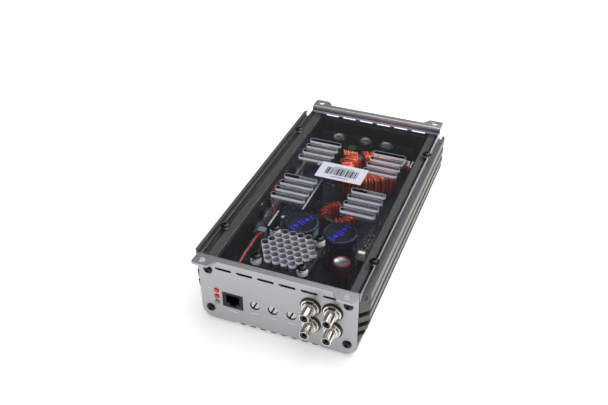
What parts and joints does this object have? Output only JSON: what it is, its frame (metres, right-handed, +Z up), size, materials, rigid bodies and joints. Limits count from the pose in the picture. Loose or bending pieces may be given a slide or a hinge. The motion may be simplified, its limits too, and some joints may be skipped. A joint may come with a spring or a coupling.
{
  "type": "car amplifier",
  "caption": "Flat finned amplifier case with flanged end panels, a clear vented base cover, an inner fan, phono and data sockets and trimmers at one end and wire terminals at the other.",
  "frame": {"origin": "bottom centre of the box around the object, at the foot of the heatsink fins", "axes": "+Z up with the clear base cover on top, as on a bench; -Y towards the signal end with the phono sockets; +X to the right seen from that end"},
  "size_m": [0.15, 0.294, 0.0688],
  "materials": {
    "case_metal": "gunmetal anodised, extruded, satin",
    "panel_metal": "silver, fine satin",
    "clear_sheet": "clear acrylic, sawn edges frosted",
    "label_film": "printed film label with plain bars",
    "black_screw": "black oxide",
    "fan_plastic": "moulded, satin black",
    "bright_steel": "zinc plated",
    "nylon": "natural nylon, slightly translucent",
    "red_wire": "insulated wire",
    "black_wire": "insulated wire",
    "grey_plastic": "moulded plug",
    "board_blue": "dark blue solder mask",
    "brass_spacer": "turned",
    "navy_sleeve": "shrink sleeve",
    "red_sleeve": "shrink sleeve, bare can top",
    "dark_sleeve": "shrink sleeve, bare can top",
    "ferrite": "coated ferrite",
    "copper_winding": "enamelled copper wire",
    "red_winding": "red enamelled wire",
    "olive_box": "moulded box",
    "black_plastic": "moulded, satin",
    "thermal_film": "insulating pad",
    "nickel": "nickel plated, bright",
    "phono_plastic": "moulded insulator",
    "gold_contact": "gold flash",
    "trimmer_white": "moulded disc",
    "red_lens": "epoxy lens, emissive when lit"
  },
  "bodies": {
    "amplifier": {"heatsink_case": "case_metal", "front_end_panel": "panel_metal", "rear_end_panel": "panel_metal", "clear_cover": "clear_sheet", "cover_label": "label_film", "end_panel_screws": "black_screw", "cover_screws": "black_screw", "fan_screws": "black_screw", "battery_terminal_screws": "black_screw", "speaker_terminal_screws": "black_screw", "fan_frame": "fan_plastic", "fan_nuts": "bright_steel", "board_screws": "bright_steel", "clamp_bar_left": "bright_steel", "clamp_bar_right": "bright_steel", "fan_spacers": "nylon", "board_connectors": "nylon", "fan_wire_red": "red_wire", "fan_wire_black": "black_wire", "fan_plug": "grey_plastic", "main_board": "board_blue", "driver_board": "board_blue", "control_board": "board_blue", "trimmer_board": "board_blue", "board_standoffs": "brass_spacer", "reservoir_capacitors": "navy_sleeve", "input_capacitor": "red_sleeve", "output_capacitors": "dark_sleeve", "transformer_core": "ferrite", "choke_core": "ferrite", "transformer_winding": "copper_winding", "filter_coil": "copper_winding", "choke_winding": "red_winding", "film_capacitor": "olive_box", "surface_chips": "black_plastic", "transistors_left": "black_plastic", "transistors_right": "black_plastic", "phono_block": "black_plastic", "data_jack_housing": "black_plastic", "trimmer_bodies": "black_plastic", "led_holder": "black_plastic", "battery_terminal_block": "black_plastic", "speaker_terminal_block": "black_plastic", "thermal_pads": "thermal_film", "phono_shells": "nickel", "phono_nuts": "nickel", "phono_insulators": "phono_plastic", "phono_washers": "phono_plastic", "phono_contacts": "gold_contact", "data_jack_contacts": "gold_contact", "battery_terminal_inserts": "gold_contact", "speaker_terminal_inserts": "gold_contact", "status_leds": "red_lens"},
    "fan_rotor": {"fan_rotor": "fan_plastic"},
    "gain_trimmer": {"gain_trimmer": "trimmer_white"},
    "crossover_trimmer": {"crossover_trimmer": "trimmer_white"},
    "bass_trimmer": {"bass_trimmer": "trimmer_white"}
  },
  "joints": [
    {"name": "fan_spin", "type": "hinge", "parent": "amplifier", "child": "fan_rotor", "pos_m": [-0.005, -0.094, 0.0503], "axis": [0, 0, 1], "continuous": true},
    {"name": "gain_turn", "type": "hinge", "parent": "amplifier", "child": "gain_trimmer", "pos_m": [-0.0194, -0.1287, 0.0271], "axis": [0, -1, 0], "range_deg": [-110, 160]},
    {"name": "crossover_turn", "type": "hinge", "parent": "amplifier", "child": "crossover_trimmer", "pos_m": [-0.0036, -0.1287, 0.0271], "axis": [0, -1, 0], "range_deg": [-110, 160]},
    {"name": "bass_turn", "type": "hinge", "parent": "amplifier", "child": "bass_trimmer", "pos_m": [0.0125, -0.1287, 0.0271], "axis": [0, -1, 0], "range_deg": [-110, 160]}
  ]
}
